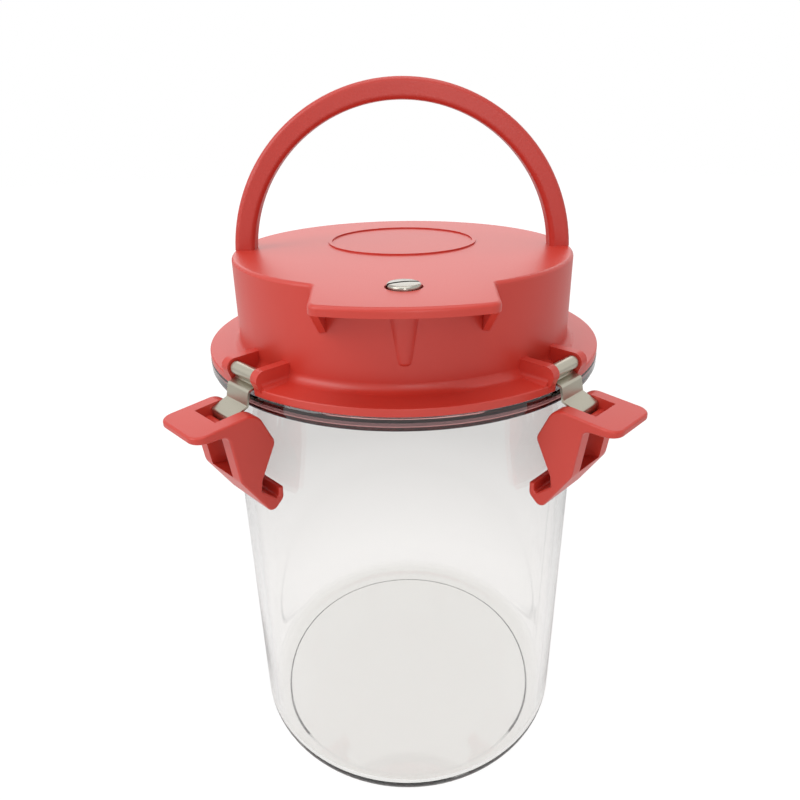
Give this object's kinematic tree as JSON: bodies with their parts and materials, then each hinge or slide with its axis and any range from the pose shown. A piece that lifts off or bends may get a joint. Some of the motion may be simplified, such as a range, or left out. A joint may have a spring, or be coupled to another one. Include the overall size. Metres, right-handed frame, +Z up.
{
  "type": "anaerobic jar",
  "caption": "Clear round jar with a clamped red lid, an arch carry handle, a vent screw and hook clamps for gas-tight incubation.",
  "frame": {"origin": "centre of the jar's base, on the surface it stands on", "axes": "+Z up along the jar's axis, -Y towards the vent screw's visor (front), +X to the right"},
  "size_m": [0.156, 0.1635, 0.275],
  "materials": {
    "clear_polycarbonate": "clear",
    "red_moulding": "satin",
    "red_grained_moulding": "fine grain",
    "stainless_strip": "rolled",
    "steel_pin": "drawn",
    "plated_screw": "plated",
    "brass_insert": "turned",
    "seal_rubber": "matt"
  },
  "bodies": {
    "jar_and_lid": {"jar": "clear_polycarbonate", "lid_seal": "seal_rubber", "lid_shell": "red_moulding", "carry_handle": "red_grained_moulding", "vent_insert": "brass_insert", "hinge_pin_front_left": "steel_pin", "hinge_pin_front_right": "steel_pin", "hinge_pin_rear_right": "steel_pin", "hinge_pin_rear_left": "steel_pin"},
    "strap_front_left": {"strap_front_left": "stainless_strip"},
    "lever_front_left": {"lever_front_left": "red_moulding"},
    "strap_front_right": {"strap_front_right": "stainless_strip"},
    "lever_front_right": {"lever_front_right": "red_moulding"},
    "strap_rear_right": {"strap_rear_right": "stainless_strip"},
    "lever_rear_right": {"lever_rear_right": "red_moulding"},
    "strap_rear_left": {"strap_rear_left": "stainless_strip"},
    "lever_rear_left": {"lever_rear_left": "red_moulding"},
    "vent_seal_carrier": {"vent_seal": "seal_rubber"},
    "vent_screw": {"vent_screw": "plated_screw"}
  },
  "joints": [
    {"name": "strap_front_left_swing", "type": "hinge", "parent": "jar_and_lid", "child": "strap_front_left", "pos_m": [-0.0524, -0.0524, 0.1836], "axis": [-0.7071, 0.7071, 0], "range_deg": [0, 80.8]},
    {"name": "lever_front_left_turn", "type": "hinge", "parent": "strap_front_left", "child": "lever_front_left", "pos_m": [-0.06116, -0.06116, 0.1681], "axis": [-0.7071, 0.7071, 0], "range_deg": [-92.61, 0]},
    {"name": "strap_front_right_swing", "type": "hinge", "parent": "jar_and_lid", "child": "strap_front_right", "pos_m": [0.0524, -0.0524, 0.1836], "axis": [-0.7071, -0.7071, 0], "range_deg": [0, 80.8]},
    {"name": "lever_front_right_turn", "type": "hinge", "parent": "strap_front_right", "child": "lever_front_right", "pos_m": [0.06116, -0.06116, 0.1681], "axis": [-0.7071, -0.7071, 0], "range_deg": [-92.61, 0]},
    {"name": "strap_rear_right_swing", "type": "hinge", "parent": "jar_and_lid", "child": "strap_rear_right", "pos_m": [0.0524, 0.0524, 0.1836], "axis": [0.7071, -0.7071, 0], "range_deg": [0, 80.8]},
    {"name": "lever_rear_right_turn", "type": "hinge", "parent": "strap_rear_right", "child": "lever_rear_right", "pos_m": [0.06116, 0.06116, 0.1681], "axis": [0.7071, -0.7071, 0], "range_deg": [-92.61, 0]},
    {"name": "strap_rear_left_swing", "type": "hinge", "parent": "jar_and_lid", "child": "strap_rear_left", "pos_m": [-0.0524, 0.0524, 0.1836], "axis": [0.7071, 0.7071, 0], "range_deg": [0, 80.8]},
    {"name": "lever_rear_left_turn", "type": "hinge", "parent": "strap_rear_left", "child": "lever_rear_left", "pos_m": [-0.06116, 0.06116, 0.1681], "axis": [0.7071, 0.7071, 0], "range_deg": [-92.61, 0]},
    {"name": "vent_screw_lift", "type": "slide", "parent": "jar_and_lid", "child": "vent_seal_carrier", "axis": [0, 0, 1], "range_m": [0, 0.0014]},
    {"name": "vent_screw_turn", "type": "hinge", "parent": "vent_seal_carrier", "child": "vent_screw", "pos_m": [0, -0.0626, 0.2137], "axis": [0, 0, 1], "range_deg": [0, 720.01]}
  ],
  "couplings": [
    {"joint": "lever_front_left_turn", "follows": "strap_front_left_swing", "ratio": -1.146},
    {"joint": "lever_front_right_turn", "follows": "strap_front_right_swing", "ratio": -1.146},
    {"joint": "lever_rear_right_turn", "follows": "strap_rear_right_swing", "ratio": -1.146},
    {"joint": "lever_rear_left_turn", "follows": "strap_rear_left_swing", "ratio": -1.146},
    {"joint": "vent_screw_turn", "follows": "vent_screw_lift", "rad_per_m": 8976}
  ]
}
